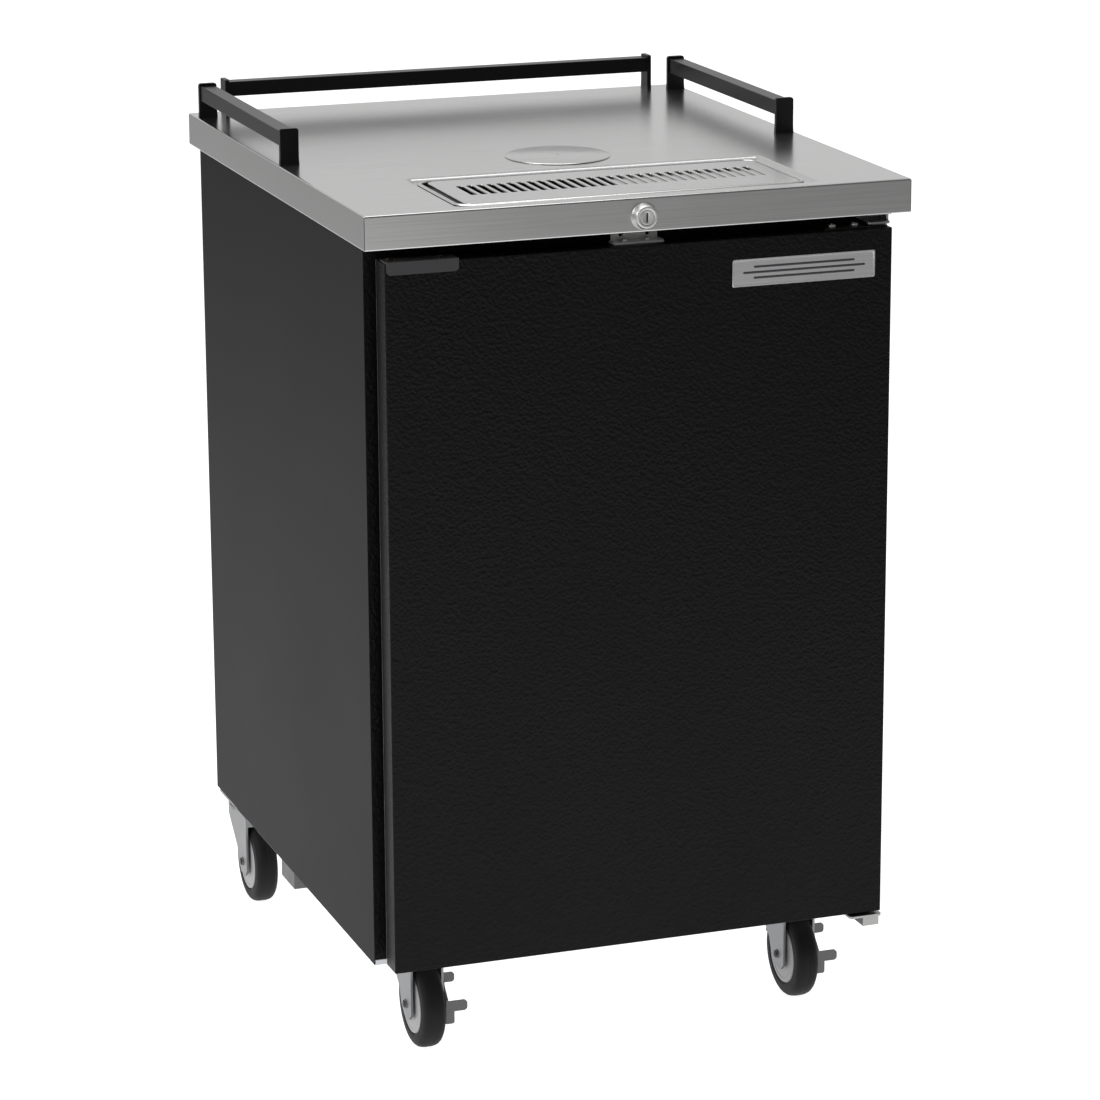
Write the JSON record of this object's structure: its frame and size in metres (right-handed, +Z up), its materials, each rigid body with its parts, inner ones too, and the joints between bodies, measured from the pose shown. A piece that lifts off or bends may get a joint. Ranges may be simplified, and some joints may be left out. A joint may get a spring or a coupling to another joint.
{
  "type": "kegerator",
  "caption": "Keg cooler cabinet on swivel casters: hinged door, stainless worktop with drip tray, tower-hole cover, lock and low guard rails.",
  "frame": {"origin": "on the floor, at the middle of the whole object's footprint", "axes": "+Z up, +X to the right as seen from the front, +Y from the door towards the back"},
  "size_m": [0.61, 0.706, 0.99],
  "materials": {
    "worktop_steel": "fine horizontal brushing, satin",
    "black_satin": "black satin powder coat",
    "side_paint": "black satin coated steel",
    "door_paint": "black, finely pebbled coated steel",
    "galvanised": "galvanised sheet",
    "liner_steel": "smooth liner sheet",
    "foam": "rigid insulation foam, light",
    "board": "stiffening board",
    "seal_rubber": "soft black seal",
    "handle_plastic": "dark grey moulded",
    "badge_metal": "brushed plate",
    "bright_metal": "bright plated",
    "zinc": "zinc-plated pressing",
    "hub_plastic": "grey moulded",
    "tyre_rubber": "black rubber tread",
    "copper": "drawn copper tube",
    "fin_aluminium": "pressed fins",
    "dark_enamel": "black enamel",
    "fan_plastic": "moulded blades",
    "knob_plastic": "moulded knob",
    "white_plastic": "white moulded"
  },
  "bodies": {
    "cabinet": {"worktop": "worktop_steel", "worktop_core": "board", "drip_pan": "worktop_steel", "drain_tube": "white_plastic", "tower_sleeve": "white_plastic", "side_panel_left": "side_paint", "side_panel_right": "side_paint", "back_panel": "galvanised", "cord_gland": "seal_rubber", "base_pan": "galvanised", "front_frame": "door_paint", "wall_foam": "foam", "cavity_liner": "liner_steel", "bulkhead": "galvanised", "floor_rack": "bright_metal", "evaporator_cover": "liner_steel", "evaporator_coil": "fin_aluminium", "compressor": "dark_enamel", "condenser_coil": "fin_aluminium", "condenser_shroud": "galvanised", "refrigerant_lines": "copper", "condensate_tray": "galvanised", "hinge_brackets": "zinc", "lock_barrel": "bright_metal", "cabinet_screws": "bright_metal", "rail_left": "black_satin", "rail_right": "black_satin", "rail_back": "black_satin", "caster_plates": "zinc"},
    "door": {"door_skin": "door_paint", "door_foam": "foam", "door_liner": "liner_steel", "door_gasket": "seal_rubber", "door_handle": "handle_plastic", "door_badge": "badge_metal", "door_strike": "zinc", "door_hinge_plates": "dark_enamel", "door_screws": "bright_metal"},
    "lock": {"lock_plug": "bright_metal", "lock_cam": "zinc"},
    "grille": {"drip_grille": "worktop_steel"},
    "cover": {"tower_cover": "worktop_steel"},
    "evaporator_rotor": {"evaporator_fan": "fan_plastic"},
    "condenser_rotor": {"condenser_fan": "fin_aluminium"},
    "thermostat": {"thermostat_knob": "knob_plastic"},
    "caster_front_left": {"caster_fork_front_left": "zinc"},
    "wheel_front_left": {"caster_hub_front_left": "hub_plastic", "caster_tyre_front_left": "tyre_rubber"},
    "caster_front_right": {"caster_fork_front_right": "zinc"},
    "wheel_front_right": {"caster_hub_front_right": "hub_plastic", "caster_tyre_front_right": "tyre_rubber"},
    "caster_rear_left": {"caster_fork_rear_left": "zinc"},
    "wheel_rear_left": {"caster_hub_rear_left": "hub_plastic", "caster_tyre_rear_left": "tyre_rubber"},
    "caster_rear_right": {"caster_fork_rear_right": "zinc"},
    "wheel_rear_right": {"caster_hub_rear_right": "hub_plastic", "caster_tyre_rear_right": "tyre_rubber"},
    "brake_front_left": {"caster_brake_front_left": "zinc"},
    "brake_front_right": {"caster_brake_front_right": "zinc"}
  },
  "joints": [
    {"name": "door_hinge", "type": "hinge", "parent": "cabinet", "child": "door", "pos_m": [0.273, -0.322, 0.5115], "axis": [0, 0, 1], "range_deg": [0, 110]},
    {"name": "lock_turn", "type": "hinge", "parent": "cabinet", "child": "lock", "pos_m": [0, -0.33, 0.93], "axis": [0, -1, 0], "range_deg": [0, 90]},
    {"name": "grille_lift", "type": "slide", "parent": "cabinet", "child": "grille", "axis": [0, 0, 1], "range_m": [0, 0.1]},
    {"name": "cover_lift", "type": "slide", "parent": "cabinet", "child": "cover", "axis": [0, 0, 1], "range_m": [0, 0.06]},
    {"name": "evaporator_fan_spin", "type": "hinge", "parent": "cabinet", "child": "evaporator_rotor", "pos_m": [0, 0.017, 0.8235], "axis": [0, -1, 0], "continuous": true},
    {"name": "condenser_fan_spin", "type": "hinge", "parent": "cabinet", "child": "condenser_rotor", "pos_m": [0.154, 0.284, 0.2475], "axis": [0, 1, 0], "continuous": true},
    {"name": "thermostat_turn", "type": "hinge", "parent": "cabinet", "child": "thermostat", "pos_m": [0.145, -0.005, 0.8235], "axis": [0, -1, 0], "range_deg": [0, 300]},
    {"name": "swivel_front_left", "type": "hinge", "parent": "cabinet", "child": "caster_front_left", "pos_m": [-0.224, -0.208, 0.11], "axis": [0, 0, 1], "continuous": true},
    {"name": "wheel_spin_front_left", "type": "hinge", "parent": "caster_front_left", "child": "wheel_front_left", "pos_m": [-0.224, -0.248, 0.05], "axis": [1, 0, 0], "continuous": true},
    {"name": "swivel_front_right", "type": "hinge", "parent": "cabinet", "child": "caster_front_right", "pos_m": [0.218, -0.208, 0.11], "axis": [0, 0, 1], "continuous": true},
    {"name": "wheel_spin_front_right", "type": "hinge", "parent": "caster_front_right", "child": "wheel_front_right", "pos_m": [0.218, -0.248, 0.05], "axis": [1, 0, 0], "continuous": true},
    {"name": "swivel_rear_left", "type": "hinge", "parent": "cabinet", "child": "caster_rear_left", "pos_m": [-0.268, 0.304, 0.11], "axis": [0, 0, 1], "continuous": true},
    {"name": "wheel_spin_rear_left", "type": "hinge", "parent": "caster_rear_left", "child": "wheel_rear_left", "pos_m": [-0.268, 0.264, 0.05], "axis": [1, 0, 0], "continuous": true},
    {"name": "swivel_rear_right", "type": "hinge", "parent": "cabinet", "child": "caster_rear_right", "pos_m": [0.268, 0.304, 0.11], "axis": [0, 0, 1], "continuous": true},
    {"name": "wheel_spin_rear_right", "type": "hinge", "parent": "caster_rear_right", "child": "wheel_rear_right", "pos_m": [0.268, 0.264, 0.05], "axis": [1, 0, 0], "continuous": true},
    {"name": "brake_press_front_left", "type": "hinge", "parent": "caster_front_left", "child": "brake_front_left", "pos_m": [-0.204, -0.243, 0.068], "axis": [-1, 0, 0], "range_deg": [0, 6]},
    {"name": "brake_press_front_right", "type": "hinge", "parent": "caster_front_right", "child": "brake_front_right", "pos_m": [0.238, -0.243, 0.068], "axis": [-1, 0, 0], "range_deg": [0, 6]}
  ]
}
